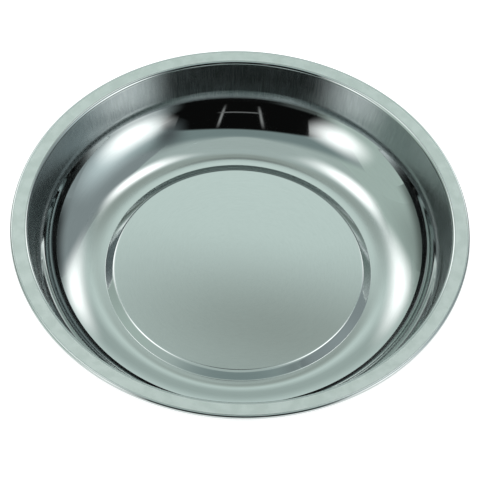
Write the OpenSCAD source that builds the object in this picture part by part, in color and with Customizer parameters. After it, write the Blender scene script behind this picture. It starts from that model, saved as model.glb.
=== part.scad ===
// Magnetic parts tray: a drawn stainless dish on a rubber-booted ring magnet.
// Millimetres, +Z up, origin on the resting plane under the middle of the dish.

/* [Dish] */
// Outside diameter over the rolled rim
dish_d = 150; // [125:1:200]
// Thickness of the stainless sheet
sheet_t = 0.6; // [0.5:0.05:0.75]
// Depth of the well, from the top of the lip to the floor
well_depth = 26; // [20:0.5:40]
// Width of the lip, from the rim's edge to the corner of the collar
lip_w = 5.7; // [4:0.1:7]
// Height of the rolled rim
hem_h = 1.7; // [1.6:0.1:2.4]
// Flat between the two bends of the rolled rim
hem_flat = 0.1; // [0.05:0.05:0.2]
// How far the rolled rim returns under the lip
hem_w = 2.6; // [2:0.1:3.5]
// Height of the steep collar under the lip
collar_h = 12.9; // [10:0.1:16]
// How far the collar leans out over that height
collar_lean = 2.8; // [1:0.1:4]
// Draft of the coned wall under the collar, in degrees
wall_draft = 32.5; // [24:0.5:40]
// Radius of the cove between wall and floor, where floor and wall leave room for it
cove_r = 23; // [8:0.2:26]
// Radius of the knee between wall and collar
knee_r = 9.8; // [6:0.2:12]
// Radius of the bend from collar to lip
lip_bend_r = 1.2; // [1:0.1:2.4]
// Least straight sheet beside the cove
run_min = 0.3; // [0.1:0.1:1]

/* [Raised panel] */
// Height of the panel above the floor of the well
panel_rise = 1.25; // [0.8:0.05:1.6]
// Slope of the step round the panel, in degrees
step_slope = 23; // [16:1:35]
// Radius of the step's upper edge
shoulder_r = 2.4; // [1.5:0.1:3]
// Radius at the foot of the step
foot_r = 0.7; // [0.6:0.1:1.2]
// Room between the boot and the step that locates it
locating_gap = 0.4; // [0.2:0.1:1]

/* [Magnet pack] */
// Outside diameter of the ferrite ring
magnet_d = 72; // [60:1:86]
// Hole through the ferrite ring
magnet_hole_d = 32; // [28:1:40]
// Thickness of the ferrite ring
magnet_t = 8; // [7:0.5:10]
// Thickness of the steel pole plate
plate_t = 1; // [0.8:0.1:2]
// Thickness of the bonding pad
pad_t = 0.4; // [0.3:0.1:1]
// Width of the bonding pad's ring
pad_w = 14; // [8:1:20]
// Room round the ferrite ring and the plate in the boot
magnet_gap = 0.3; // [0.2:0.05:0.5]

/* [Rubber boot] */
// Rubber outside the magnet
boot_wall = 4.5; // [3:0.1:6]
// Rubber under the magnet
boot_floor = 2; // [1.6:0.1:3]
// Radius of the boot's lower edge
boot_edge_r = 1.4; // [0.6:0.1:1.5]
// Rubber web that the nut clamps
web_t = 3; // [2:0.1:3.4]
// Room round the washer in the nut pocket
pocket_gap = 1.4; // [1:0.1:4]
// Number of grip grooves in the resting face
groove_n = 3; // [1:1:4]
// Width of a grip groove
groove_w = 1.6; // [1:0.1:2]
// Depth of a grip groove
groove_h = 0.7; // [0.4:0.1:1]

/* [Hold-down] */
// Diameter of the weld stud
stud_d = 4; // [3:0.5:5]
// Diameter of the stud's welding flange
stud_flange_d = 5.5; // [5.2:0.1:7]
// Thickness of the stud's welding flange
stud_flange_t = 0.8; // [0.6:0.1:1]
// Length of stud that stands out of the nut
stud_end = 0.8; // [0.4:0.1:1.2]
// Room round the stud in the plate and the boot
stud_gap = 0.4; // [0.2:0.1:0.6]
// Running room between the stud and the nut and washers
thread_gap = 0.1; // [0.05:0.05:0.3]
// Diameter of the flat washer
washer_d = 12; // [11:0.5:15]
// Thickness of the flat washer
washer_t = 1; // [0.8:0.1:1.2]
// Width of the spring washer's section
spring_w = 1.6; // [1.2:0.1:2]
// Thickness of the spring washer
spring_t = 0.9; // [0.7:0.1:1.1]
// Angle of the gap in the spring washer
spring_gap_angle = 14; // [8:1:24]
// Width of the nut across its flats
nut_flats = 7; // [6.5:0.5:8]
// Height of the nut
nut_h = 3.2; // [2.4:0.1:3.4]
// Chamfer of the nut's corners
nut_chamfer = 0.5; // [0.3:0.1:0.8]

/* [Hidden] */
$fn = 144;
// Largest step along a bend, in degrees.
arc_step = 8;

// Heights of the magnet pack, built up from the resting plane.
magnet_z = boot_floor;
plate_z = magnet_z + magnet_t;
pad_z = plate_z + plate_t;
boot_h = pad_z + pad_t;

// Heights of the dish. The underside of its panel rests on the boot.
panel_z = boot_h + sheet_t;
floor_z = panel_z - panel_rise;
lip_z = floor_z + well_depth;
knee_z = lip_z - collar_h;

// Heights of the fasteners, down from the rubber web.
web_z = plate_z - web_t;
washer_z = web_z - washer_t;
spring_z = washer_z - spring_t;
nut_z = spring_z - nut_h;
stud_z = nut_z - stud_end;

// Radii of the magnet pack.
magnet_r = magnet_d / 2;
hub_r = magnet_hole_d / 2 - magnet_gap;
bay_r = magnet_r + magnet_gap;
boot_r = bay_r + boot_wall;
pocket_r = washer_d / 2 + pocket_gap;
stud_hole_r = stud_flange_d / 2 + stud_gap;
clear_r = stud_d / 2 + thread_gap;
pad_r = magnet_r - magnet_gap;

// The step's underside clears the boot, so the panel takes its size from the boot.
step_half = tan(step_slope / 2);
panel_r = boot_r + locating_gap + (shoulder_r - sheet_t) * step_half + sheet_t * step_half;
step_r = panel_r + panel_rise / tan(step_slope);

// Radii of the dish's corners, in from the rim.
rim_r = dish_d / 2;
collar_r = rim_r - lip_w;
wall_r = collar_r - collar_lean;
cove_corner_r = wall_r - (knee_z - floor_z) * tan(wall_draft);
hem_r = (hem_h - hem_flat) / 2;

// The cove is as round as it is asked to be, or as the floor and the wall leave room for.
collar_angle = atan2(collar_h, collar_lean);
knee_trim = knee_r * tan(abs(90 - wall_draft - collar_angle) / 2);
foot_trim = foot_r * step_half;
floor_room = cove_corner_r - step_r - foot_trim - run_min;
wall_room = (knee_z - floor_z) / cos(wall_draft) - knee_trim - run_min;
cove_bend_r = min(cove_r, min(floor_room, wall_room) / tan((90 - wall_draft) / 2));

// Corners of the dish's upper surface from the middle outwards: radius, height, bend radius.
DISH_CORNERS = [
    [0, panel_z, 0],
    [panel_r, panel_z, shoulder_r],
    [step_r, floor_z, foot_r],
    [cove_corner_r, floor_z, cove_bend_r],
    [wall_r, knee_z, knee_r],
    [collar_r, lip_z, lip_bend_r],
    [rim_r, lip_z, hem_r],
    [rim_r, lip_z - hem_h, hem_r],
    [rim_r - hem_w, lip_z - hem_h, 0],
];

function point(c) = [c[0], c[1]];
function heading(a, b) = atan2(b[1] - a[1], b[0] - a[0]);
function wrapped(a) = a > 180 ? a - 360 : a <= -180 ? a + 360 : a;
function along(p, angle, length) = p + length * [cos(angle), sin(angle)];

// Points of an arc about c, one for each step of arc_step degrees or less.
function arc(c, r, from, sweep) =
    let (steps = ceil(abs(sweep) / arc_step))
    [for (k = [0:steps]) along(c, from + sweep * k / steps, r)];

// Bend at corner i of a path, for the face a distance d to the right of the path.
function bend(cs, i, d) =
    let (into = heading(cs[i - 1], cs[i]))
    let (swing = wrapped(heading(cs[i], cs[i + 1]) - into))
    let (side = sign(swing))
    let (r = cs[i][2])
    let (start = along(point(cs[i]), into, -r * tan(abs(swing) / 2)))
    arc(along(start, into + side * 90, r), r + side * d, into - side * 90, swing);

// Face of a sheet, a distance d to the right of a path of corners.
function sheet_face(cs, d) =
    let (last = len(cs) - 1)
    concat(
        [along(point(cs[0]), heading(cs[0], cs[1]) - 90, d)],
        [for (i = [1:last - 1]) each bend(cs, i, d)],
        [along(point(cs[last]), heading(cs[last - 1], cs[last]) - 90, d)]
    );

function reversed(list) = [for (i = [len(list) - 1:-1:0]) list[i]];

// Section of a bent sheet whose upper surface follows the corners.
module sheet_section(cs, t) {
    polygon(concat(sheet_face(cs, 0), reversed(sheet_face(cs, t))));
}

// Flat ring from z upwards.
module ring(outer_r, inner_r, z, h) {
    translate([0, 0, z]) rotate_extrude() translate([inner_r, 0]) square([outer_r - inner_r, h]);
}

// Drawn dish with its rolled rim, collar, coned wall, cove and raised panel.
module dish() {
    color("#b9c4c0") rotate_extrude() sheet_section(DISH_CORNERS, sheet_t);
}

// Stud welded under the middle of the panel.
module weld_stud() {
    color("#b08d57") {
        translate([0, 0, stud_z]) cylinder(d = stud_d, h = boot_h - stud_flange_t - stud_z);
        translate([0, 0, boot_h - stud_flange_t]) cylinder(d = stud_flange_d, h = stud_flange_t);
    }
}

// Ring of bonding pad between the pole plate and the panel.
module bond_pad() {
    color("#d8d2c0") ring(pad_r, pad_r - pad_w, pad_z, pad_t);
}

// Steel plate that carries the magnet's upper pole.
module pole_plate() {
    color("#a9adb0") ring(magnet_r, stud_hole_r, plate_z, plate_t);
}

// Ferrite ring.
module ring_magnet() {
    color("#3a3b3d") ring(magnet_r, magnet_hole_d / 2, magnet_z, magnet_t);
}

// Outline of the boot's block, with its lower edge rounded.
module boot_block() {
    rotate_extrude() difference() {
        square([boot_r, boot_h]);
        translate([boot_r - boot_edge_r, 0]) difference() {
            square(boot_edge_r);
            translate([0, boot_edge_r]) circle(boot_edge_r);
        }
    }
}

// Rubber boot: a trough for the magnet round a hub with a nut pocket.
module rubber_boot() {
    groove_pitch = (boot_r - boot_edge_r - pocket_r) / (groove_n + 1);
    color("#17181a") difference() {
        boot_block();
        ring(bay_r, hub_r, magnet_z, boot_h);
        translate([0, 0, plate_z]) cylinder(r = bay_r, h = boot_h);
        translate([0, 0, -boot_h]) cylinder(r = pocket_r, h = boot_h + web_z);
        cylinder(r = stud_d / 2 + stud_gap, h = boot_h);
        for (k = [1:groove_n]) {
            middle_r = pocket_r + k * groove_pitch;
            ring(middle_r + groove_w / 2, middle_r - groove_w / 2, -groove_h, 2 * groove_h);
        }
    }
}

// Flat washer under the rubber web.
module flat_washer() {
    color("#c3c6c8") ring(washer_d / 2, clear_r, washer_z, washer_t);
}

// Split spring washer, drawn closed by the nut.
module spring_washer() {
    color("#8f9396") translate([0, 0, spring_z])
        rotate([0, 0, spring_gap_angle / 2])
            rotate_extrude(angle = 360 - spring_gap_angle)
                translate([clear_r, 0]) square([spring_w, spring_t]);
}

// Hexagon nut with both ends chamfered.
module hex_nut() {
    corner_r = nut_flats / 2 / cos(30);
    cone_h = corner_r * 2;
    color("#c9c7ba") translate([0, 0, nut_z]) difference() {
        intersection() {
            cylinder(r = corner_r, h = nut_h, $fn = 6);
            rotate_extrude() polygon([
                [0, 0],
                [corner_r - nut_chamfer, 0],
                [corner_r, nut_chamfer / 2],
                [corner_r, nut_h - nut_chamfer / 2],
                [corner_r - nut_chamfer, nut_h],
                [0, nut_h],
            ]);
        }
        translate([0, 0, -cone_h]) cylinder(r = clear_r, h = nut_h + 2 * cone_h);
    }
}

dish();
weld_stud();
bond_pad();
pole_plate();
ring_magnet();
rubber_boot();
flat_washer();
spring_washer();
hex_nut();
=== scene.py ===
"""Looks of a magnetic parts tray: its dressed pieces, a soft studio and the camera.

Metres, +Z up. The tray stands on the floor at z 0, with its axis on the Z axis.
"""
import logging
import math
from collections.abc import Callable, Sequence
from dataclasses import dataclass
from enum import Enum
from functools import cache
from typing import Any

import bmesh
import bpy
from bmesh.types import BMEdge, BMesh, BMVert
from bpy.types import Material, Node, NodeSocket, NodeTree, Object
from mathutils import Matrix, Quaternion, Vector


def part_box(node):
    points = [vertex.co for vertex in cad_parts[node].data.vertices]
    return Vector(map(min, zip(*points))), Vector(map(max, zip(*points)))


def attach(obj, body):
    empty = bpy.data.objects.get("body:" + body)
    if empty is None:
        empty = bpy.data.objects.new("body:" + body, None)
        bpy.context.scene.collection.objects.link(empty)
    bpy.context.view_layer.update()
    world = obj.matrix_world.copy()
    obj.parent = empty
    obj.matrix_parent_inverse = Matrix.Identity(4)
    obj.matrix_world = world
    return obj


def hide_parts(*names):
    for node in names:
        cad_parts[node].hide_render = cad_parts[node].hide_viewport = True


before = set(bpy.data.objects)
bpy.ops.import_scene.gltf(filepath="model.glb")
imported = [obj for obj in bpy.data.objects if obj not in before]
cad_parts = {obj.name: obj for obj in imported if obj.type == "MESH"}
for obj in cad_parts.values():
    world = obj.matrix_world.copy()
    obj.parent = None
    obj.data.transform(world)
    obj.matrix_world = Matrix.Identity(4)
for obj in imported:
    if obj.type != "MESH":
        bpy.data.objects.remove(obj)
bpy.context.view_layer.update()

LOG = logging.getLogger("tray")
MM = 0.001
FULL_TURN = 2 * math.pi
MERGE_GAP = 1e-7
SHARP_ANGLE = math.radians(35)
MAGNET_HOLE = 16 * MM
RING_FACES = 192
ROUGHNESS_LAYER = "polish_roughness"
DRAW_LAYER = "draw_lines"

Colour = tuple[float, float, float]
Span = tuple[float, float]
WHITE: Colour = (1.0, 1.0, 1.0)


class Slot(Enum):
    """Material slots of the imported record."""

    STAINLESS = "stainless"
    COPPERED_STEEL = "coppered_steel"
    BOND_FOAM = "bond_foam"
    ZINC_STEEL = "zinc_steel"
    FERRITE = "ferrite"
    BLACK_RUBBER = "black_rubber"
    SPRING_STEEL = "spring_steel"


class Polish(Enum):
    """Roughness of a stretch of the drawn sheet, and how far the lines of the draw show on it, 0 to 1."""

    MIRROR = (0.03, 0.0)
    BRIGHT = (0.05, 0.0)
    LIP = (0.36, 0.0)
    OUTSIDE = (0.22, 0.8)
    COLLAR = (0.2, 1.0)


def node_reach(node: str) -> float:
    """Largest radius of a CAD node about the tray's axis."""
    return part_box(node)[1].x


def node_heights(node: str) -> tuple[float, float]:
    """Lowest and highest point of a CAD node."""
    low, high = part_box(node)
    return low.z, high.z


@dataclass(frozen=True)
class Corner:
    """Corner of a section: where two straight runs would meet, and how the sheet bends there.

    Attributes:
        radius: Distance from the tray's axis.
        height: Height above the floor.
        bend: Radius of the bend, or 0 for a sharp corner.
        bend_polish: Finish of the bend.
        run_polish: Finish of the straight run after the bend.
    """

    radius: float
    height: float
    bend: float = 0.0
    bend_polish: Polish = Polish.MIRROR
    run_polish: Polish = Polish.MIRROR

    def point(self) -> Vector:
        """The corner as a point in the XZ plane."""
        return Vector((self.radius, 0.0, self.height))


class SectionPen:
    """Draws a section in the XZ plane, one straight run or one bend at a time."""

    GUARD = 0.25 * MM
    BEND_STEP = math.radians(6)
    BEND_CHORD = 0.4 * MM
    LEAST_BEND_STEPS = 3

    def __init__(self, bm: BMesh, start: Vector, heading: float) -> None:
        """Sets the pen down.

        Args:
            bm: Mesh that the section is drawn in. It has the polish layers already.
            start: First point of the section.
            heading: Direction of the first run, in radians from +X towards +Z.
        """
        self.bm = bm
        self.heading = heading
        self.tip = bm.verts.new(start)

    def mark(self, polish: Polish) -> None:
        """Sets the finish from the tip of the section on."""
        for name, value in zip((ROUGHNESS_LAYER, DRAW_LAYER), polish.value):
            self.tip[self.bm.verts.layers.float[name]] = value

    def step(self, length: float) -> None:
        """Draws one straight edge.

        Args:
            length: Its length.
        """
        self.tip = bmesh.ops.extrude_vert_indiv(self.bm, verts=[self.tip])["verts"][0]
        along = Vector((math.cos(self.heading), 0.0, math.sin(self.heading)))
        bmesh.ops.translate(self.bm, verts=[self.tip], vec=along * length)

    def run(self, length: float) -> None:
        """Draws a straight run, with short guard edges at its ends that keep it flat when shaded smooth.

        Args:
            length: Length of the run. None is drawn where the bends beside it leave no room.
        """
        if length <= MERGE_GAP:
            return
        guard = min(self.GUARD, length / 4)
        for part in (guard, length - 2 * guard, guard):
            self.step(part)

    def bend(self, swing: float, radius: float) -> None:
        """Draws a bend.

        Args:
            swing: Change of heading, in radians, upwards positive.
            radius: Radius of the bend, or 0 for a sharp corner.
        """
        side = math.copysign(1.0, swing)
        if radius > 0:
            aside = self.heading + side * math.pi / 2
            centre = self.tip.co + Vector((math.cos(aside), 0.0, math.sin(aside))) * radius
            length = abs(swing) * radius
            steps = max(abs(swing) / self.BEND_STEP, length / self.BEND_CHORD, self.LEAST_BEND_STEPS)
            made = bmesh.ops.spin(
                self.bm, geom=[self.tip], cent=centre, axis=(0.0, -side, 0.0), angle=abs(swing),
                steps=math.ceil(steps),
            )
            self.tip = next(item for item in made["geom_last"] if isinstance(item, BMVert))
        self.heading += swing


def heading_between(first: Corner, second: Corner) -> float:
    """Direction from one corner to the next, in radians from +X towards +Z."""
    along = second.point() - first.point()
    return math.atan2(along.z, along.x)


def wrapped(angle: float) -> float:
    """The same angle between minus and plus half a turn."""
    return (angle + math.pi) % FULL_TURN - math.pi


def draw_section(bm: BMesh, corners: Sequence[Corner], offset: float = 0.0) -> SectionPen:
    """Draws a path of corners, or the path a sheet's thickness to its right.

    Args:
        bm: Mesh that the section is drawn in.
        corners: Corners of the path. The first and the last have no bend.
        offset: Distance to the right of the path. Left bends widen by it, and right bends narrow.

    Returns:
        The pen, at the end of the path.
    """
    headings = [heading_between(a, b) for a, b in zip(corners, corners[1:])]
    swings = [wrapped(b - a) for a, b in zip(headings, headings[1:])]
    trims = [0.0]
    trims += [corner.bend * math.tan(abs(swing) / 2) for corner, swing in zip(corners[1:], swings)]
    trims.append(0.0)
    right = headings[0] - math.pi / 2
    start = corners[0].point() + Vector((math.cos(right), 0.0, math.sin(right))) * offset
    pen = SectionPen(bm, start, headings[0])
    pen.mark(corners[0].run_polish)
    for index, (first, second) in enumerate(zip(corners, corners[1:])):
        full = (second.point() - first.point()).length
        pen.run(full - trims[index] - trims[index + 1])
        if index < len(swings):
            widened = second.bend + math.copysign(offset, swings[index]) if second.bend > 0 else 0.0
            pen.mark(second.bend_polish)
            pen.bend(swings[index], widened)
            pen.mark(second.run_polish)
    return pen


def new_section() -> BMesh:
    """Starts a section.

    Returns:
        An empty mesh with the layers that hold the polish.
    """
    bm = bmesh.new()
    for name in (ROUGHNESS_LAYER, DRAW_LAYER):
        bm.verts.layers.float.new(name)
    return bm


def turn(bm: BMesh, steps: int) -> None:
    """Spins a drawn section through a wedge, doubles the wedge to a full turn and closes its seams and poles.

    Args:
        bm: Mesh that holds the section alone.
        steps: Number of faces round the axis, a multiple of 16.
    """
    doublings = 4
    wedge = FULL_TURN / 2 ** doublings
    bmesh.ops.spin(
        bm, geom=bm.verts[:] + bm.edges[:], cent=(0, 0, 0), axis=(0, 0, 1), angle=wedge,
        steps=steps // 2 ** doublings,
    )
    for doubling in range(doublings):
        made = bmesh.ops.duplicate(bm, geom=bm.verts[:] + bm.edges[:] + bm.faces[:])["geom"]
        moved = [item for item in made if isinstance(item, BMVert)]
        swing = Matrix.Rotation(wedge * 2 ** doubling, 3, "Z")
        bmesh.ops.rotate(bm, verts=moved, cent=(0, 0, 0), matrix=swing)
    close(bm)


def close(bm: BMesh) -> None:
    """Merges doubled points and turns the faces outwards.

    Args:
        bm: Mesh to close.
    """
    bmesh.ops.remove_doubles(bm, verts=bm.verts[:], dist=MERGE_GAP)
    bmesh.ops.dissolve_degenerate(bm, edges=bm.edges[:], dist=MERGE_GAP)
    bmesh.ops.recalc_face_normals(bm, faces=bm.faces[:])


def loop_of(corners: Sequence[Corner]) -> list[Corner]:
    """A closed path, started in the middle of its last run so that every corner can bend.

    Args:
        corners: Corners of the closed section, in order.

    Returns:
        The corners, with a plain point on the last run before and after them.
    """
    middle = (corners[-1].point() + corners[0].point()) / 2
    seam = Corner(middle.x, middle.z)
    return [seam, *corners, seam]


def turned_ring(corners: Sequence[Corner], steps: int = RING_FACES) -> BMesh:
    """A ring with a closed section.

    Args:
        corners: Corners of the section, in order.
        steps: Number of faces round the axis.

    Returns:
        The ring's mesh.
    """
    bm = new_section()
    draw_section(bm, loop_of(corners))
    turn(bm, steps)
    return bm


def plain_ring(
    inner: float, outer: float, low: float, high: float, edge: float, base_edge: float
) -> list[Corner]:
    """Corners of a flat ring's section.

    Args:
        inner: Radius of its hole.
        outer: Outside radius.
        low: Height of its lower face.
        high: Height of its upper face.
        edge: Rounding of the upper edges.
        base_edge: Rounding of the lower edges.

    Returns:
        The four corners, from the lower inner one outwards.
    """
    return [
        Corner(inner, low, base_edge),
        Corner(outer, low, base_edge),
        Corner(outer, high, edge),
        Corner(inner, high, edge),
    ]


def thread_ridge(bm: BMesh, root: float, crest: float, pitch: float, low: float, high: float) -> None:
    """Winds the ridge of a screw thread into a mesh.

    Args:
        bm: Mesh that gets the ridge.
        root: Radius of the ridge's foot.
        crest: Radius of its crest, larger than the root on a screw and smaller in a nut.
        pitch: Rise of one turn.
        low: Height of the ridge's start.
        high: Height of its end.
    """
    steps_a_turn = 40
    half_foot = 0.42 * pitch
    half_crest = 0.07 * pitch
    outline = [(root, -half_foot), (crest, -half_crest), (crest, half_crest), (root, half_foot)]
    start = low + half_foot
    points = [bm.verts.new((radius, 0.0, start + rise)) for radius, rise in outline]
    edges = [bm.edges.new((a, b)) for a, b in zip(points, points[1:] + points[:1])]
    turns = (high - low - 2 * half_foot) / pitch
    steps = round(turns * steps_a_turn)
    bmesh.ops.spin(
        bm, geom=points + edges, cent=(0, 0, 0), axis=(0, 0, 1), angle=turns * FULL_TURN, steps=steps,
        dvec=(0, 0, turns * pitch / steps),
    )
    bmesh.ops.holes_fill(bm, edges=[edge for edge in bm.edges if edge.is_boundary], sides=len(outline))


def add_object(bm: BMesh, name: str, material: Material) -> Object:
    """Makes a mesh an object of the scene.

    Args:
        bm: The mesh. It is freed.
        name: Name of the object.
        material: Its material.

    Returns:
        The object.
    """
    mesh = bpy.data.meshes.new(name)
    bm.to_mesh(mesh)
    bm.free()
    mesh.materials.append(material)
    made = bpy.data.objects.new(name, mesh)
    bpy.context.scene.collection.objects.link(made)
    return made


def place_piece(bm: BMesh, name: str, node: str, material: Material) -> None:
    """Makes a finished mesh a piece of the tray, in place of its CAD node.

    Args:
        bm: The mesh. It is freed.
        name: Name of the piece.
        node: CAD node that it stands for.
        material: Its finish.
    """
    for face in bm.faces:
        face.smooth = True
    for edge in bm.edges:
        edge.smooth = edge.calc_face_angle(0.0) < SHARP_ANGLE
    piece = add_object(bm, name, material)
    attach(piece, "root")
    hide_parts(node)
    LOG.info("%s stands for %s: %d faces", name, node, len(piece.data.polygons))


def build_ring(
    name: str, node: str, material: Material, hole: float, edge: float, base_edge: float,
    steps: int = RING_FACES,
) -> None:
    """Makes a flat ring that fills its CAD node.

    Args:
        name: Name of the piece.
        node: CAD node that it stands for.
        material: Its finish.
        hole: Radius of its hole.
        edge: Rounding of the upper edges.
        base_edge: Rounding of the lower edges.
        steps: Number of faces round the axis.
    """
    low, high = node_heights(node)
    section = plain_ring(hole, node_reach(node), low, high, edge, base_edge)
    place_piece(turned_ring(section, steps), name, node, material)


class Sketch:
    """Adds and joins the nodes of one shader tree."""

    def __init__(self, tree: NodeTree) -> None:
        """Starts on a tree.

        Args:
            tree: Node tree of a material, a group or the world.
        """
        self.tree = tree

    def feed(self, socket: NodeSocket, value: Any) -> None:
        """Gives a socket a value, or joins another node's output to it.

        Args:
            socket: Input of a node.
            value: Value or output for it.
        """
        if isinstance(value, NodeSocket):
            self.tree.links.new(value, socket)
        else:
            socket.default_value = value

    def node(self, kind: str, inputs: dict[Any, Any] | None = None, **settings: Any) -> Node:
        """Adds a node.

        Args:
            kind: Blender's name for the node.
            inputs: Values or outputs for its inputs, by name or place.
            settings: Its own settings.

        Returns:
            The node.
        """
        made = self.tree.nodes.new(kind)
        for name, value in settings.items():
            setattr(made, name, value)
        for name, value in (inputs or {}).items():
            self.feed(made.inputs[name], value)
        return made

    def math(self, operation: str, first: Any, second: Any = 0.0, clamp: bool = False) -> NodeSocket:
        """A sum, product or other operation on two numbers."""
        made = self.node("ShaderNodeMath", {0: first, 1: second}, operation=operation, use_clamp=clamp)
        return made.outputs[0]

    def vector(self, operation: str, first: Any, second: Any = None) -> NodeSocket:
        """A sum or other operation on vectors.

        Args:
            operation: Blender's name for the operation.
            first: The vector that it starts from.
            second: The other vector, or the number to scale by, where the operation takes one.

        Returns:
            The vector that it gives.
        """
        inputs = {0: first}
        if second is not None:
            inputs["Scale" if operation == "SCALE" else 1] = second
        return self.node("ShaderNodeVectorMath", inputs, operation=operation).outputs["Vector"]

    def length(self, vector: Any) -> NodeSocket:
        """The length of a vector."""
        return self.node("ShaderNodeVectorMath", {0: vector}, operation="LENGTH").outputs["Value"]

    def compose(self, **axes: Any) -> NodeSocket:
        """A vector from its parts along X, Y and Z."""
        return self.node("ShaderNodeCombineXYZ", axes).outputs[0]

    def parts(self, vector: Any) -> Any:
        """The parts of a vector, by the names X, Y and Z."""
        return self.node("ShaderNodeSeparateXYZ", {0: vector}).outputs

    def noise(self, vector: Any, scale: Any, detail: float = 2.0, roughness: float = 0.5) -> NodeSocket:
        """A noise value at a point."""
        inputs = {"Vector": vector, "Scale": scale, "Detail": detail, "Roughness": roughness}
        return self.node("ShaderNodeTexNoise", inputs).outputs["Fac"]

    def ranged(self, value: Any, span: Span, onto: Span = (0.0, 1.0)) -> NodeSocket:
        """Maps a value smoothly.

        Args:
            value: The value.
            span: Its low and high ends, past which it is cut off.
            onto: What the two ends become.

        Returns:
            The mapped value.
        """
        ends = zip(("From Min", "From Max", "To Min", "To Max"), (*span, *onto))
        inputs = {"Value": value, **dict(ends)}
        return self.node("ShaderNodeMapRange", inputs, interpolation_type="SMOOTHSTEP").outputs["Result"]

    def blend(self, share: Any, first: Any, second: Any) -> NodeSocket:
        """Mixes two colours.

        Args:
            share: Share of the second colour.
            first: The first colour.
            second: The second colour.

        Returns:
            The mix.
        """
        mix = self.node("ShaderNodeMix", data_type="RGBA")
        for name, value in (("Factor_Float", share), ("A_Color", first), ("B_Color", second)):
            socket = next(item for item in mix.inputs if item.identifier == name)
            self.feed(socket, value)
        return next(item for item in mix.outputs if item.identifier == "Result_Color")

    def own_place(self) -> NodeSocket:
        """The point in the piece's own coordinates."""
        return self.node("ShaderNodeTexCoord").outputs["Object"]

    def layer(self, name: str) -> NodeSocket:
        """The number that a layer of the mesh holds at the point."""
        return self.node("ShaderNodeAttribute", attribute_name=name).outputs["Fac"]


def opaque(colour: Colour) -> tuple[float, float, float, float]:
    """A colour with full opacity, as a shader socket takes it."""
    return (*colour, 1.0)


def bare_material(name: str) -> tuple[Material, Sketch]:
    """Starts a material.

    Args:
        name: Name of the material.

    Returns:
        The material, with no nodes, and a sketch of its tree.
    """
    material = bpy.data.materials.new(name)
    material.use_nodes = True
    material.node_tree.nodes.clear()
    return material, Sketch(material.node_tree)


class GroupBuilder:
    """Starts a shader group with named number inputs and outputs."""

    def __init__(self, name: str, inputs: dict[str, float], outputs: Sequence[str]) -> None:
        """Makes the group's sockets.

        Args:
            name: Name of the group.
            inputs: Names and usual values of its inputs.
            outputs: Names of its outputs.
        """
        self.tree = bpy.data.node_groups.new(name, "ShaderNodeTree")
        for label, value in inputs.items():
            socket = self.tree.interface.new_socket(label, in_out="INPUT", socket_type="NodeSocketFloat")
            socket.default_value = value
        for label in outputs:
            self.tree.interface.new_socket(label, in_out="OUTPUT", socket_type="NodeSocketFloat")
        self.sketch = Sketch(self.tree)
        self.given = self.sketch.node("NodeGroupInput").outputs
        self.results = self.sketch.node("NodeGroupOutput").inputs

    def give(self, label: str, value: NodeSocket) -> None:
        """Joins a value to one of the group's outputs."""
        self.sketch.feed(self.results[label], value)


@cache
def drawn_streaks() -> NodeTree:
    """Group of fine lines that run up the wall of a drawn or turned piece.

    Returns:
        A group that takes Count, the lines in one radian, and Reach, how fast a line changes with height, and
        gives Streaks.
    """
    group = GroupBuilder("drawn_streaks", {"Count": 120.0, "Reach": 1.0}, ["Streaks"])
    pen = group.sketch
    place = pen.parts(pen.own_place())
    round_axis = pen.vector("NORMALIZE", pen.compose(X=place["X"], Y=place["Y"]))
    lifted = pen.math("MULTIPLY", place["Z"], group.given["Reach"])
    vector = pen.vector("ADD", round_axis, pen.compose(Z=lifted))
    group.give("Streaks", pen.noise(vector, group.given["Count"], detail=1.0, roughness=0.65))
    return group.tree


@cache
def polishing_rings() -> NodeTree:
    """Group of fine concentric lines left by a polishing wheel.

    Returns:
        A group that takes Fineness, the lines in a metre of radius, and gives Rings.
    """
    radian_drift = 4 * MM
    group = GroupBuilder("polishing_rings", {"Fineness": 3000.0}, ["Rings"])
    pen = group.sketch
    place = pen.parts(pen.own_place())
    level = pen.compose(X=place["X"], Y=place["Y"])
    slow = pen.vector("SCALE", pen.vector("NORMALIZE", level), radian_drift)
    vector = pen.vector("ADD", slow, pen.compose(Z=pen.length(level)))
    group.give("Rings", pen.noise(vector, group.given["Fineness"]))
    return group.tree


@cache
def surface_grain() -> NodeTree:
    """Group of an even fine grain with broader clouds in it.

    Returns:
        A group that takes Grain and Clouds, the grains and the clouds in a metre, and gives Grain and Clouds.
    """
    group = GroupBuilder("surface_grain", {"Grain": 2500.0, "Clouds": 60.0}, ["Grain", "Clouds"])
    pen = group.sketch
    place = pen.own_place()
    for label in ("Grain", "Clouds"):
        group.give(label, pen.noise(place, group.given[label], detail=3.0))
    return group.tree


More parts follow.
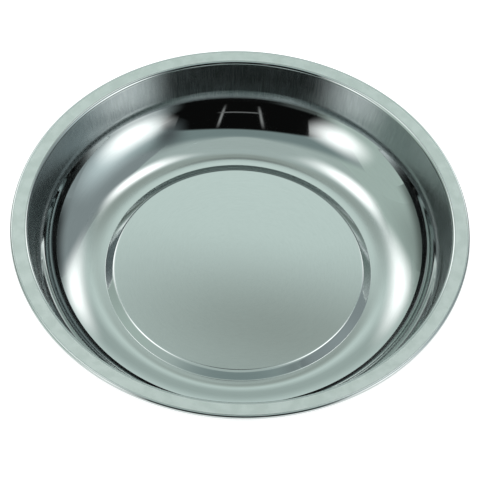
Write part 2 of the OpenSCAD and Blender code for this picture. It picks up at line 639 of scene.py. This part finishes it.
class Finish:
    """Starts a material and joins its main shader."""

    def __init__(self, name: str, **constants: Any) -> None:
        """Makes the material.

        Args:
            name: Name of the material.
            constants: Values that are the same all over, by the shader's socket names with _ for a space.
        """
        self.material, self.sketch = bare_material(name)
        self.shader = self.sketch.node("ShaderNodeBsdfPrincipled")
        for label, value in constants.items():
            self.shader.inputs[label.replace("_", " ")].default_value = value
        self.sketch.node("ShaderNodeOutputMaterial", {"Surface": self.shader.outputs[0]})

    def group(self, make: Callable[[], NodeTree], **values: float) -> Any:
        """Places a shared group.

        Args:
            make: Function that builds the group.
            values: Values of its inputs.

        Returns:
            The outputs of the placed group.
        """
        return self.sketch.node("ShaderNodeGroup", values, node_tree=make()).outputs

    def set(self, label: str, value: NodeSocket) -> None:
        """Joins a value that changes over the surface to the shader."""
        self.sketch.feed(self.shader.inputs[label], value)

    def bump(self, height: NodeSocket, depth: float, before: Any = None) -> NodeSocket:
        """A normal from a height.

        Args:
            height: Height, from 0 to 1.
            depth: What a height of 1 stands for, in metres.
            before: Normal of a coarser bump under it.

        Returns:
            The normal.
        """
        made = self.sketch.node("ShaderNodeBump", {"Strength": 1.0, "Distance": depth, "Height": height})
        if before is not None:
            self.sketch.feed(made.inputs["Normal"], before)
        return made.outputs[0]


@dataclass(frozen=True)
class DrawnStainless:
    """Drawn stainless sheet: a mirror in the well, draw lines on the collar and a mottled satin lip, whose
    lighter colour is partly painted sheen.

    In this and the other finishes, a field that ends in _span is the range of a pattern's values over which
    it takes effect.
    """

    bright: Colour = (0.55, 0.583, 0.575)
    worn: Colour = (0.5, 0.533, 0.525)
    worn_share: Span = (0.0, 0.35)
    ring_span: Span = (0.3, 0.8)
    drawn: Colour = (0.35, 0.38, 0.385)
    drawn_share: Span = (0.8, 1.0)
    hairline_span: Span = (0.3, 0.62)
    # Lip colours: partly painted sheen, set lighter than the bright sheet so that the lip reads lit; the
    # mottle between the two is the lip's own.
    painted_sheen_satin: Colour = (0.665, 0.705, 0.685)
    painted_sheen_spot: Colour = (0.6, 0.645, 0.622)
    satin_span: Span = (0.24, Polish.LIP.value[0])
    mottle_span: Span = (0.36, 0.64)
    cloud_dulling: Span = (0.0, 0.03)
    cloud_span: Span = (0.35, 0.75)
    streak_dulling: Span = (-0.03, 0.03)
    streak_span: Span = (0.3, 0.7)
    streak_depth: float = 1.4e-6
    wave_depth: float = 8e-6

    def material(self) -> Material:
        """Builds the finish.

        Returns:
            The material.
        """
        finish = Finish("drawn_stainless", Metallic=1.0)
        pen = finish.sketch
        polish = pen.layer(ROUGHNESS_LAYER)
        drawn = pen.layer(DRAW_LAYER)
        streaks = finish.group(drawn_streaks, Count=200.0, Reach=0.8)["Streaks"]
        hairlines = finish.group(drawn_streaks, Count=95.0, Reach=1.6)["Streaks"]
        rings = finish.group(polishing_rings, Fineness=2600.0)["Rings"]
        clouds = finish.group(surface_grain, Clouds=55.0)["Clouds"]
        mottle = finish.group(surface_grain, Grain=240.0)["Grain"]
        dull = pen.math("ADD", polish, pen.ranged(clouds, self.cloud_span, self.cloud_dulling))
        lines = pen.math("MULTIPLY", pen.ranged(streaks, self.streak_span, self.streak_dulling), drawn)
        finish.set("Roughness", pen.math("ADD", dull, lines, clamp=True))
        worn = pen.ranged(rings, self.ring_span, self.worn_share)
        polished = pen.blend(worn, opaque(self.bright), opaque(self.worn))
        share = pen.math("MULTIPLY", drawn, pen.ranged(hairlines, self.hairline_span, self.drawn_share))
        sheet = pen.blend(share, polished, opaque(self.drawn))
        # Painted sheen on the lip: its lighter colours, mottled between a spot tone and a main tone.
        rolled = pen.blend(pen.ranged(mottle, self.mottle_span), opaque(self.painted_sheen_spot), opaque(self.painted_sheen_satin))
        finish.set("Base Color", pen.blend(pen.ranged(polish, self.satin_span), sheet, rolled))
        wave = finish.bump(clouds, self.wave_depth)
        finish.set("Normal", finish.bump(pen.math("MULTIPLY", streaks, drawn), self.streak_depth, wave))
        return finish.material


@dataclass(frozen=True)
class BlackRubber:
    """Moulded black rubber with a fine matt texture and greyed high spots."""

    body: Colour = (0.022, 0.022, 0.024)
    greyed: Colour = (0.06, 0.06, 0.062)
    greyed_span: Span = (0.45, 0.8)
    roughness: Span = (0.52, 0.68)
    roughness_span: Span = (0.3, 0.7)
    grain_depth: float = 5e-5

    def material(self) -> Material:
        """Builds the finish.

        Returns:
            The material.
        """
        finish = Finish("moulded_rubber", Specular_IOR_Level=0.4)
        pen = finish.sketch
        grain = finish.group(surface_grain, Grain=2600.0, Clouds=90.0)
        greyed = pen.ranged(grain["Clouds"], self.greyed_span)
        finish.set("Base Color", pen.blend(greyed, opaque(self.body), opaque(self.greyed)))
        finish.set("Roughness", pen.ranged(grain["Clouds"], self.roughness_span, self.roughness))
        finish.set("Normal", finish.bump(grain["Grain"], self.grain_depth))
        return finish.material


@dataclass(frozen=True)
class PlatedSteel:
    """Plated or plain steel with fine turned lines and a mottled sheen."""

    name: str
    clean: Colour
    stained: Colour
    roughness: float
    roughness_spread: Span = (-0.08, 0.1)
    line_span: Span = (0.25, 0.75)
    stain_span: Span = (0.4, 0.75)
    grain_depth: float = 4e-6

    @cache
    def material(self) -> Material:
        """Builds the finish.

        Returns:
            The material.
        """
        finish = Finish(self.name, Metallic=1.0)
        pen = finish.sketch
        lines = finish.group(polishing_rings, Fineness=4000.0)["Rings"]
        grain = finish.group(surface_grain, Grain=3500.0, Clouds=400.0)
        stain = pen.ranged(grain["Clouds"], self.stain_span)
        finish.set("Base Color", pen.blend(stain, opaque(self.clean), opaque(self.stained)))
        spread = pen.ranged(lines, self.line_span, self.roughness_spread)
        finish.set("Roughness", pen.math("ADD", spread, self.roughness, clamp=True))
        finish.set("Normal", finish.bump(grain["Grain"], self.grain_depth))
        return finish.material


ZINC_PLATE = PlatedSteel("zinc_plate", (0.62, 0.63, 0.65), (0.5, 0.5, 0.5), 0.28)
COPPER_FLASH = PlatedSteel("copper_flash", (0.66, 0.4, 0.27), (0.42, 0.24, 0.16), 0.34)
HARDENED_STEEL = PlatedSteel("hardened_spring_steel", (0.34, 0.35, 0.37), (0.22, 0.22, 0.24), 0.36)


@dataclass(frozen=True)
class GroundFerrite:
    """Sintered ferrite with ground faces and small pits."""

    body: Colour = (0.07, 0.07, 0.075)
    ground: Colour = (0.12, 0.12, 0.125)
    roughness: Span = (0.5, 0.75)
    roughness_span: Span = (0.3, 0.7)
    pit_span: Span = (0.3, 0.42)
    pit_depth: float = 6e-5

    def material(self) -> Material:
        """Builds the finish.

        Returns:
            The material.
        """
        finish = Finish("ground_ferrite")
        pen = finish.sketch
        grain = finish.group(surface_grain, Grain=1400.0, Clouds=120.0)
        finish.set("Base Color", pen.blend(grain["Clouds"], opaque(self.body), opaque(self.ground)))
        finish.set("Roughness", pen.ranged(grain["Grain"], self.roughness_span, self.roughness))
        finish.set("Normal", finish.bump(pen.ranged(grain["Grain"], self.pit_span), self.pit_depth))
        return finish.material


@dataclass(frozen=True)
class BondFoam:
    """Closed-cell foam pad with open pores on its cut edge, each painted darker towards its middle as shade
    in the pore.
    """

    body: Colour = (0.62, 0.58, 0.47)
    # Painted shade: the colour at the middle of each pore, where the bump sinks.
    pit_shade: Colour = (0.48, 0.44, 0.35)
    cell_span: Span = (0.1, 0.6)
    cell_depth: float = 5e-5
    cells_a_metre: float = 3200.0

    def material(self) -> Material:
        """Builds the finish.

        Returns:
            The material.
        """
        finish = Finish("bond_foam", Roughness=0.85)
        pen = finish.sketch
        inputs = {"Vector": pen.own_place(), "Scale": self.cells_a_metre}
        cell = pen.node("ShaderNodeTexVoronoi", inputs).outputs["Distance"]
        # Painted shade in each pore, darkest at its middle and fading out to the body colour.
        rim = pen.ranged(cell, self.cell_span)
        finish.set("Base Color", pen.blend(rim, opaque(self.pit_shade), opaque(self.body)))
        finish.set("Normal", finish.bump(cell, self.cell_depth))
        return finish.material


@dataclass
class Dish:
    """The drawn dish: rolled rim, lip, steep collar, coned wall, cove, step and panel in one sheet."""

    sheet: float = 0.6 * MM
    lip_width: float = 5.7 * MM
    lip_bend: float = 1.2 * MM
    rim_height: float = 1.7 * MM
    rim_bend: float = 0.8 * MM
    rim_return: float = 2.6 * MM
    collar_height: float = 12.9 * MM
    collar_lean: float = 2.8 * MM
    knee_bend: float = 9.8 * MM
    wall_draft: float = math.radians(32.5)
    cove_bend: float = 23 * MM
    well_depth: float = 26 * MM
    panel_rise: float = 1.25 * MM
    step_slope: float = math.radians(23)
    shoulder_bend: float = 2.4 * MM
    foot_bend: float = 0.7 * MM
    boot_gap: float = 0.4 * MM
    faces_round: int = 320

    def corners(self) -> list[Corner]:
        """Works out the sheet's upper face.

        Returns:
            Its corners, from the middle of the panel out to the end of the rolled rim.
        """
        rim = node_reach("dish")
        lip_z = node_heights("dish")[1]
        floor_z = lip_z - self.well_depth
        knee_z = lip_z - self.collar_height
        panel_z = floor_z + self.panel_rise
        panel = node_reach("rubber_boot") + self.boot_gap + self.shoulder_bend * math.tan(self.step_slope / 2)
        foot = panel + self.panel_rise / math.tan(self.step_slope)
        collar = rim - self.lip_width
        wall = collar - self.collar_lean
        cove = wall - (knee_z - floor_z) * math.tan(self.wall_draft)
        return [
            Corner(0.0, panel_z, run_polish=Polish.BRIGHT),
            Corner(panel, panel_z, self.shoulder_bend),
            Corner(foot, floor_z, self.foot_bend),
            Corner(cove, floor_z, self.cove_bend),
            Corner(wall, knee_z, self.knee_bend, Polish.COLLAR, Polish.COLLAR),
            Corner(collar, lip_z, self.lip_bend, Polish.BRIGHT, Polish.LIP),
            Corner(rim, lip_z, self.rim_bend, Polish.BRIGHT, Polish.LIP),
            Corner(rim, lip_z - self.rim_height, self.rim_bend, Polish.BRIGHT, Polish.LIP),
            Corner(rim - self.rim_return, lip_z - self.rim_height),
        ]

    def build(self) -> None:
        """Bends the sheet's two faces, spins them and dresses the dish."""
        upper = self.corners()
        under = [Corner(c.radius, c.height, c.bend, Polish.OUTSIDE, Polish.OUTSIDE) for c in upper]
        bm = new_section()
        ends = [draw_section(bm, upper).tip, draw_section(bm, under, self.sheet).tip]
        bm.edges.new(ends)
        turn(bm, self.faces_round)
        place_piece(bm, "drawn_dish", "dish", DrawnStainless().material())


@dataclass
class MagnetPack:
    """The ferrite ring, its pole plate and the pad that bonds them to the panel."""

    magnet_edge: float = 0.6 * MM
    plate_hole: float = 3.15 * MM
    plate_edge: float = 0.3 * MM
    plate_burr: float = 0.08 * MM
    pad_width: float = 14 * MM
    pad_edge: float = 0.15 * MM

    def build(self) -> None:
        """Makes the foam pad, the punched plate with one soft and one keen edge, and the ground magnet."""
        foam = BondFoam().material()
        hole = node_reach("bond_pad") - self.pad_width
        build_ring("foam_bond_ring", "bond_pad", foam, hole, self.pad_edge, self.pad_edge)
        build_ring(
            "punched_pole_plate", "pole_plate", ZINC_PLATE.material(), self.plate_hole,
            self.plate_edge, self.plate_burr,
        )
        build_ring(
            "ferrite_ring", "ring_magnet", GroundFerrite().material(), MAGNET_HOLE,
            self.magnet_edge, self.magnet_edge,
        )


@dataclass
class RubberBoot:
    """The moulded boot: a trough for the magnet round a hub, with a nut pocket and grip grooves below."""

    magnet_gap: float = 0.3 * MM
    stud_hole: float = 2.4 * MM
    web: float = 3 * MM
    pocket: float = 7.4 * MM
    lower_edge: float = 1.4 * MM
    mould_edge: float = 0.3 * MM
    mouth_edge: float = 0.5 * MM
    groove_count: int = 3
    groove_width: float = 1.6 * MM
    groove_depth: float = 0.7 * MM
    groove_edge: float = 0.2 * MM

    def grooves(self, outer: float) -> list[Corner]:
        """Corners of the grip grooves, from the pocket outwards.

        Args:
            outer: Outside radius of the boot.

        Returns:
            Four corners for each groove.
        """
        pitch = (outer - self.lower_edge - self.pocket) / (self.groove_count + 1)
        made = []
        for count in range(1, self.groove_count + 1):
            middle = self.pocket + count * pitch
            inner, far = middle - self.groove_width / 2, middle + self.groove_width / 2
            made += [
                Corner(inner, 0.0, self.groove_edge),
                Corner(inner, self.groove_depth, self.groove_edge),
                Corner(far, self.groove_depth, self.groove_edge),
                Corner(far, 0.0, self.groove_edge),
            ]
        return made

    def build(self) -> None:
        """Turns the boot from its section and dresses it."""
        outer = node_reach("rubber_boot")
        top = node_heights("rubber_boot")[1]
        bay_low, bay_high = node_heights("ring_magnet")
        bay = node_reach("ring_magnet") + self.magnet_gap
        hub = MAGNET_HOLE - self.magnet_gap
        web_z = bay_high - self.web
        section = [
            Corner(self.stud_hole, web_z, self.mould_edge),
            Corner(self.pocket, web_z, self.mould_edge),
            Corner(self.pocket, 0.0, self.mouth_edge),
            *self.grooves(outer),
            Corner(outer, 0.0, self.lower_edge),
            Corner(outer, top, self.mould_edge),
            Corner(bay, top, self.mould_edge),
            Corner(bay, bay_low, self.mould_edge),
            Corner(hub, bay_low, self.mould_edge),
            Corner(hub, bay_high, self.mould_edge),
            Corner(self.stud_hole, bay_high, self.mould_edge),
        ]
        rubber = BlackRubber().material()
        place_piece(turned_ring(section), "moulded_boot", "rubber_boot", rubber)


@dataclass
class HoldDown:
    """The weld stud with its washers and nut."""

    pitch: float = 0.7 * MM
    thread_embed: float = 0.05 * MM
    stud_core: float = 1.6 * MM
    stud_crest: float = 2.0 * MM
    stud_edge: float = 0.2 * MM
    stud_faces: int = 64
    flange: float = 0.8 * MM
    neck: float = 1.2 * MM
    tip_chamfer: float = 0.4 * MM
    bore: float = 2.1 * MM
    washer_edge: float = 0.25 * MM
    washer_burr: float = 0.08 * MM
    washer_faces: int = 96
    spring_edge: float = 0.12 * MM
    spring_gap: float = math.radians(14)
    spring_faces: int = 92
    nut_face: float = 3.4 * MM
    nut_chamfer: float = math.radians(30)
    nut_sink: float = 0.3 * MM
    nut_crest: float = 1.75 * MM
    nut_sides: int = 6
    nut_cuts: int = 15

    def build_stud(self) -> None:
        """Turns the stud with its welding flange, and winds its thread."""
        low, high = node_heights("weld_stud")
        wide = node_reach("weld_stud")
        under = high - self.flange
        bm = new_section()
        draw_section(bm, [
            Corner(0.0, low),
            Corner(self.stud_core - self.tip_chamfer, low, self.stud_edge),
            Corner(self.stud_core, low + self.tip_chamfer, self.stud_edge),
            Corner(self.stud_core, under, self.stud_edge),
            Corner(wide, under, self.stud_edge),
            Corner(wide, high, self.stud_edge),
            Corner(0.0, high),
        ])
        turn(bm, self.stud_faces)
        root = self.stud_core - self.thread_embed
        thread_ridge(bm, root, self.stud_crest, self.pitch, low + self.tip_chamfer, under - self.neck)
        close(bm)
        place_piece(bm, "threaded_weld_stud", "weld_stud", COPPER_FLASH.material())

    def build_washer(self) -> None:
        """Makes the punched flat washer."""
        build_ring(
            "punched_flat_washer", "flat_washer", ZINC_PLATE.material(), self.bore,
            self.washer_edge, self.washer_burr, self.washer_faces,
        )

    def build_spring(self) -> None:
        """Winds the split spring washer, with its gap at +X and its ends closed."""
        low, high = node_heights("spring_washer")
        outer = -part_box("spring_washer")[0].x
        section = plain_ring(self.bore, outer, low, high, self.spring_edge, self.spring_edge)
        bm = new_section()
        draw_section(bm, loop_of(section))
        bmesh.ops.remove_doubles(bm, verts=bm.verts[:], dist=MERGE_GAP)
        swing = Matrix.Rotation(self.spring_gap / 2, 3, "Z")
        bmesh.ops.rotate(bm, verts=bm.verts[:], cent=(0, 0, 0), matrix=swing)
        bmesh.ops.spin(
            bm, geom=bm.verts[:] + bm.edges[:], cent=(0, 0, 0), axis=(0, 0, 1),
            angle=FULL_TURN - self.spring_gap, steps=self.spring_faces,
        )
        bmesh.ops.holes_fill(bm, edges=[edge for edge in bm.edges if edge.is_boundary], sides=0)
        close(bm)
        steel = HARDENED_STEEL.material()
        place_piece(bm, "split_spring_washer", "spring_washer", steel)

    def ring(self, bm: BMesh, radius: float, height: float) -> list[BMEdge]:
        """Draws a round loop with as many points as the nut's outline.

        Args:
            bm: Mesh of the nut.
            radius: Radius of the loop.
            height: Its height.

        Returns:
            The edges of the loop.
        """
        before = set(bm.edges)
        count = self.nut_sides * (self.nut_cuts + 1)
        bmesh.ops.create_circle(bm, radius=radius, segments=count, matrix=Matrix.Translation((0, 0, height)))
        return [edge for edge in bm.edges if edge not in before]

    def hexagon(self, bm: BMesh, corner: float, height: float, drop: float) -> list[BMEdge]:
        """Draws the nut's outline, with its corners chamfered.

        Args:
            bm: Mesh of the nut.
            corner: Radius of the nut's corners.
            height: Height of the nut's face.
            drop: -1 for the upper outline, whose corners drop, and 1 for the lower one.

        Returns:
            The edges of the outline.
        """
        before = set(bm.edges)
        place = Matrix.Translation((0, 0, height)) @ Matrix.Rotation(math.pi / self.nut_sides, 4, "Z")
        bmesh.ops.create_circle(bm, radius=corner, segments=self.nut_sides, matrix=place)
        sides = [edge for edge in bm.edges if edge not in before]
        bmesh.ops.subdivide_edges(bm, edges=sides, cuts=self.nut_cuts)
        edges = [edge for edge in bm.edges if edge not in before]
        for point in {vert for edge in edges for vert in edge.verts}:
            past = max(0.0, point.co.xy.length - self.nut_face)
            point.co.z += drop * past * math.tan(self.nut_chamfer)
        return edges

    def build_nut(self) -> None:
        """Bridges the nut from loops round its section, and winds the thread in its bore."""
        low, high = node_heights("hex_nut")
        corner = node_reach("hex_nut")
        bm = new_section()
        loops = [
            self.ring(bm, self.bore, low + self.nut_sink),
            self.ring(bm, self.bore + self.nut_sink, low),
            self.ring(bm, self.nut_face, low),
            self.hexagon(bm, corner, low, 1.0),
            self.hexagon(bm, corner, high, -1.0),
            self.ring(bm, self.nut_face, high),
            self.ring(bm, self.bore + self.nut_sink, high),
            self.ring(bm, self.bore, high - self.nut_sink),
        ]
        for first, second in zip(loops, loops[1:] + loops[:1]):
            bmesh.ops.bridge_loops(bm, edges=first + second)
        root = self.bore + self.thread_embed
        start = low + self.pitch / 2
        thread_ridge(bm, root, self.nut_crest, self.pitch, start, high - self.nut_sink)
        close(bm)
        place_piece(bm, "plated_hex_nut", "hex_nut", ZINC_PLATE.material())

    def build(self) -> None:
        """Makes the four pieces."""
        self.build_stud()
        self.build_washer()
        self.build_spring()
        self.build_nut()


@dataclass(frozen=True)
class Card:
    """A studio card or softbox that faces the tray.

    Attributes:
        name: Name of the card.
        azimuth: Direction from the tray, in degrees from the far side, clockwise from above.
        elevation: Height above the horizon, in degrees.
        width: Width as seen from the tray, in degrees.
        height: Height as seen from the tray, in degrees.
        tone: Brightness, where 1 is white paper.
        soft: Share of the half width over which an edge fades.
        tint: Colour of its light.
        roll: Turn about the line to the tray, in degrees.
        oval: Whether the card is oval.
        nearness: Its distance from the tray as a share of the usual one.
    """

    name: str
    azimuth: float
    elevation: float
    width: float
    height: float
    tone: float
    soft: float = 0.3
    tint: Colour = WHITE
    roll: float = 0.0
    oval: bool = False
    nearness: float = 1.0


FAR_TINT: Colour = (0.86, 1.0, 0.97)
LEFT_TINT: Colour = (0.83, 1.0, 0.93)
RIGHT_TINT: Colour = (0.84, 0.97, 1.0)
CARDS = (
    Card("far_glow", 0, 50, 64, 26, 1.02, 1.0, (0.86, 1.0, 0.96)),
    Card("far_horizon", 0, 4, 120, 56, 1.0, 1.0, FAR_TINT),
    Card("far_left_panel", -37, 36, 32, 48, 2.2, 1.0),
    Card("far_right_panel", 34, 29, 27, 47, 2.2, 1.0),
    Card("overhead_left", -54, 65, 26, 28, 2.6, 1.0),
    Card("overhead_right", 42, 65, 20, 24, 2.6, 0.9),
    Card("left_wall", -95, 0, 100, 120, 0.72, 0.04, LEFT_TINT),
    Card("left_shade", -62, 0, 50, 110, 0.42, 1.0, LEFT_TINT),
    Card("right_wall", 85, 0, 86, 134, 0.42, 0.04, RIGHT_TINT),
    Card("left_skirt", -70, 0, 70, 50, 0.15, 0.75, LEFT_TINT),
    Card("right_skirt", 56, 0, 46, 54, 0.05, 0.75, RIGHT_TINT),
    Card("near_right_glow", 104, 32, 62, 60, 1.1, 1.0, RIGHT_TINT),
    Card("near_shade", 178, 55, 112, 62, 0.36, 0.4, (0.78, 1.0, 1.0)),
    Card("zenith", 180, 90, 25, 25, 0.68, 0.3, FAR_TINT, oval=True),
    Card("near_left_panel", -126, 33, 40, 50, 2.3, 1.0),
    Card("near_right_panel", 118, 26, 48, 50, 2.4, 1.0),
    Card("right_flag", 128, 53, 18, 58, 0.16, 1.0, (0.8, 0.95, 1.0), roll=28),
    Card("dark_room", -178, 29, 96, 42, 0.005, 0.45, roll=3),
    Card("dark_arch", 180, 40, 80, 55, 0.005, 0.14, oval=True),
    Card("left_stand", -171, 42, 1.7, 46, 0.36, 0.8, roll=-7),
    Card("right_stand", 166, 42, 1.7, 46, 0.36, 0.8, roll=10),
    Card("stand_bar", 177, 36, 22, 2.4, 0.2, 0.4),
    Card("boom_shade", 7, 57, 46, 16.5, 0.53, 1.0, (0.87, 1.0, 0.94), nearness=0.175),
    Card("boom", 0, 62.5, 8, 13, 0.06, 0.9),
)


class Studio:
    """Pale floor, dome and cards round the tray. None of them is part of the object."""

    CARD_DISTANCE = 3.0
    CARD_SPACING = 0.05
    DOME_RADIUS = 9.0
    FLOOR_RADIUS = 14.0
    FLOOR_DROP = 0.05 * MM
    FLOOR_GLOW = 0.84
    FLOOR_PAPER: Colour = (0.52, 0.52, 0.52)
    AIM = Vector((0.0, 0.0, 30 * MM))
    FADING: Span = (1.0, 0.0)
    SIDE_BLEND: Span = (-0.02, 0.02)
    SIDES = {
        "far": (0.5, 0.6, 0.57),
        "near": (0.45, 0.51, 0.51),
        "left": (0.55, 0.66, 0.59),
        "right": (0.3, 0.37, 0.4),
        "top": (0.6, 0.7, 0.68),
    }

    def seen_rays(self, pen: Sketch) -> NodeSocket:
        """Tells the rays that show the background: camera, glossy and transmission rays.

        Args:
            pen: Sketch of the tree that asks.

        Returns:
            1 for such a ray, and 0 for the others.
        """
        path = pen.node("ShaderNodeLightPath").outputs
        glossy = pen.math("MAXIMUM", path["Is Glossy Ray"], path["Is Transmission Ray"])
        return pen.math("MAXIMUM", path["Is Camera Ray"], glossy)

    def card_material(self, card: Card) -> Material:
        """Builds the light of a card, which fades to nothing at its edges.

        Args:
            card: The card.

        Returns:
            The material.
        """
        material, pen = bare_material(card.name)
        place = pen.own_place()
        edge = (1.0 - card.soft, 1.0)
        if card.oval:
            share = pen.ranged(pen.length(place), edge, self.FADING)
        else:
            sides = pen.parts(pen.vector("ABSOLUTE", place))
            masks = [pen.ranged(sides[axis], edge, self.FADING) for axis in ("X", "Y")]
            share = pen.math("MULTIPLY", *masks)
        light = pen.node("ShaderNodeEmission", {"Color": opaque(card.tint), "Strength": card.tone}).outputs[0]
        clear = pen.node("ShaderNodeBsdfTransparent").outputs[0]
        mixed = pen.node("ShaderNodeMixShader", {0: share, 1: clear, 2: light}).outputs[0]
        pen.node("ShaderNodeOutputMaterial", {"Surface": mixed})
        return material

    def build_card(self, card: Card, distance: float) -> None:
        """Hangs one card, hidden from the camera.

        Args:
            card: The card.
            distance: Its distance from the tray.
        """
        azimuth, elevation = math.radians(card.azimuth), math.radians(card.elevation)
        level = math.cos(elevation)
        toward = Vector((math.sin(azimuth) * level, math.cos(azimuth) * level, math.sin(elevation)))
        bm = bmesh.new()
        bmesh.ops.create_grid(bm, x_segments=1, y_segments=1, size=1.0)
        made = add_object(bm, card.name, self.card_material(card))
        made.location = self.AIM + toward * distance
        made.rotation_mode = "QUATERNION"
        roll = Quaternion((0, 0, 1), math.radians(card.roll))
        made.rotation_quaternion = (-toward).to_track_quat("Z", "Y") @ roll
        half = [distance * math.tan(math.radians(angle) / 2) for angle in (card.width, card.height)]
        made.scale = (half[0], half[1], 1.0)
        made.visible_camera = False

    def dome_material(self) -> Material:
        """Builds the even light of the room, with one tone for each side, blended by direction.

        Returns:
            The material.
        """
        material, pen = bare_material("room")
        parts = pen.parts(pen.vector("NORMALIZE", pen.own_place()))
        tone = (0.0, 0.0, 0.0)
        for axis, low, high in (("X", "left", "right"), ("Y", "near", "far"), ("Z", "top", "top")):
            side = pen.ranged(parts[axis], self.SIDE_BLEND)
            colour = pen.blend(side, opaque(self.SIDES[low]), opaque(self.SIDES[high]))
            weight = pen.math("MULTIPLY", parts[axis], parts[axis])
            tone = pen.vector("ADD", pen.vector("SCALE", colour, weight), tone)
        light = pen.node("ShaderNodeEmission", {"Color": tone}).outputs[0]
        pen.node("ShaderNodeOutputMaterial", {"Surface": light})
        return material

    def build_dome(self) -> None:
        """Sets up the room's dome, hidden from the camera."""
        bm = bmesh.new()
        bmesh.ops.create_uvsphere(bm, u_segments=64, v_segments=32, radius=self.DOME_RADIUS)
        made = add_object(bm, "room_dome", self.dome_material())
        made.visible_camera = False

    def floor_material(self) -> Material:
        """Builds the white floor, which keeps the tray's shadow and is clear from below.

        Returns:
            The material.
        """
        material, pen = bare_material("pale_floor")
        paper = pen.node("ShaderNodeBsdfDiffuse", {"Color": opaque(self.FLOOR_PAPER)}).outputs[0]
        share = pen.math("MULTIPLY", self.seen_rays(pen), self.FLOOR_GLOW)
        glow = pen.node("ShaderNodeEmission", {"Strength": share}).outputs[0]
        lit = pen.node("ShaderNodeAddShader", {0: paper, 1: glow}).outputs[0]
        below = pen.node("ShaderNodeNewGeometry").outputs["Backfacing"]
        clear = pen.node("ShaderNodeBsdfTransparent").outputs[0]
        mixed = pen.node("ShaderNodeMixShader", {0: below, 1: lit, 2: clear}).outputs[0]
        pen.node("ShaderNodeOutputMaterial", {"Surface": mixed})
        return material

    def build_floor(self) -> None:
        """Lays the floor just under the tray."""
        bm = bmesh.new()
        place = Matrix.Translation((0, 0, -self.FLOOR_DROP))
        bmesh.ops.create_circle(bm, cap_ends=True, radius=self.FLOOR_RADIUS, segments=96, matrix=place)
        add_object(bm, "floor", self.floor_material())

    def build_world(self) -> None:
        """White background for the rays that show it."""
        world = bpy.data.worlds.new("backdrop")
        world.use_nodes = True
        world.node_tree.nodes.clear()
        pen = Sketch(world.node_tree)
        inputs = {"Color": opaque(WHITE), "Strength": self.seen_rays(pen)}
        light = pen.node("ShaderNodeBackground", inputs).outputs[0]
        pen.node("ShaderNodeOutputWorld", {"Surface": light})
        bpy.context.scene.world = world

    def build(self) -> None:
        """Builds the whole studio."""
        self.build_world()
        self.build_floor()
        self.build_dome()
        for rank, card in enumerate(CARDS):
            self.build_card(card, card.nearness * (self.CARD_DISTANCE - rank * self.CARD_SPACING))
        bpy.context.scene.view_settings.view_transform = "Standard"
        LOG.info("studio with %d cards", len(CARDS))


@dataclass
class PhotoCamera:
    """Camera at the photograph's angle."""

    distance: float = 0.7
    elevation: float = math.radians(52.64)
    roll: float = math.radians(2.73)
    lens: float = 161.03
    sensor: float = 36.0
    aim_aside: float = 0.1 * MM
    aim_drop: float = 9.8 * MM

    def build(self) -> None:
        """Places the camera at its distance from the middle of the lip, aimed a little below it."""
        lip = Vector((0.0, 0.0, node_heights("dish")[1]))
        back = Vector((0.0, -math.cos(self.elevation), math.sin(self.elevation)))
        data = bpy.data.cameras.new("photo_camera")
        data.lens = self.lens
        data.sensor_width = self.sensor
        made = bpy.data.objects.new("photo_camera", data)
        bpy.context.scene.collection.objects.link(made)
        made.location = lip + back * self.distance
        aim = lip + Vector((self.aim_aside, 0.0, -self.aim_drop))
        made.rotation_mode = "QUATERNION"
        roll = Quaternion((0, 0, 1), self.roll)
        made.rotation_quaternion = (aim - made.location).to_track_quat("-Z", "Y") @ roll
        bpy.context.scene.camera = made


def main() -> None:
    """Builds the camera, the tray's pieces from the dish down, and the studio."""
    logging.basicConfig(level=logging.INFO, format="%(relativeCreated)d ms %(name)s: %(message)s")
    for part in (PhotoCamera(), Dish(), MagnetPack(), RubberBoot(), HoldDown(), Studio()):
        part.build()


if __name__ == "__main__":
    main()
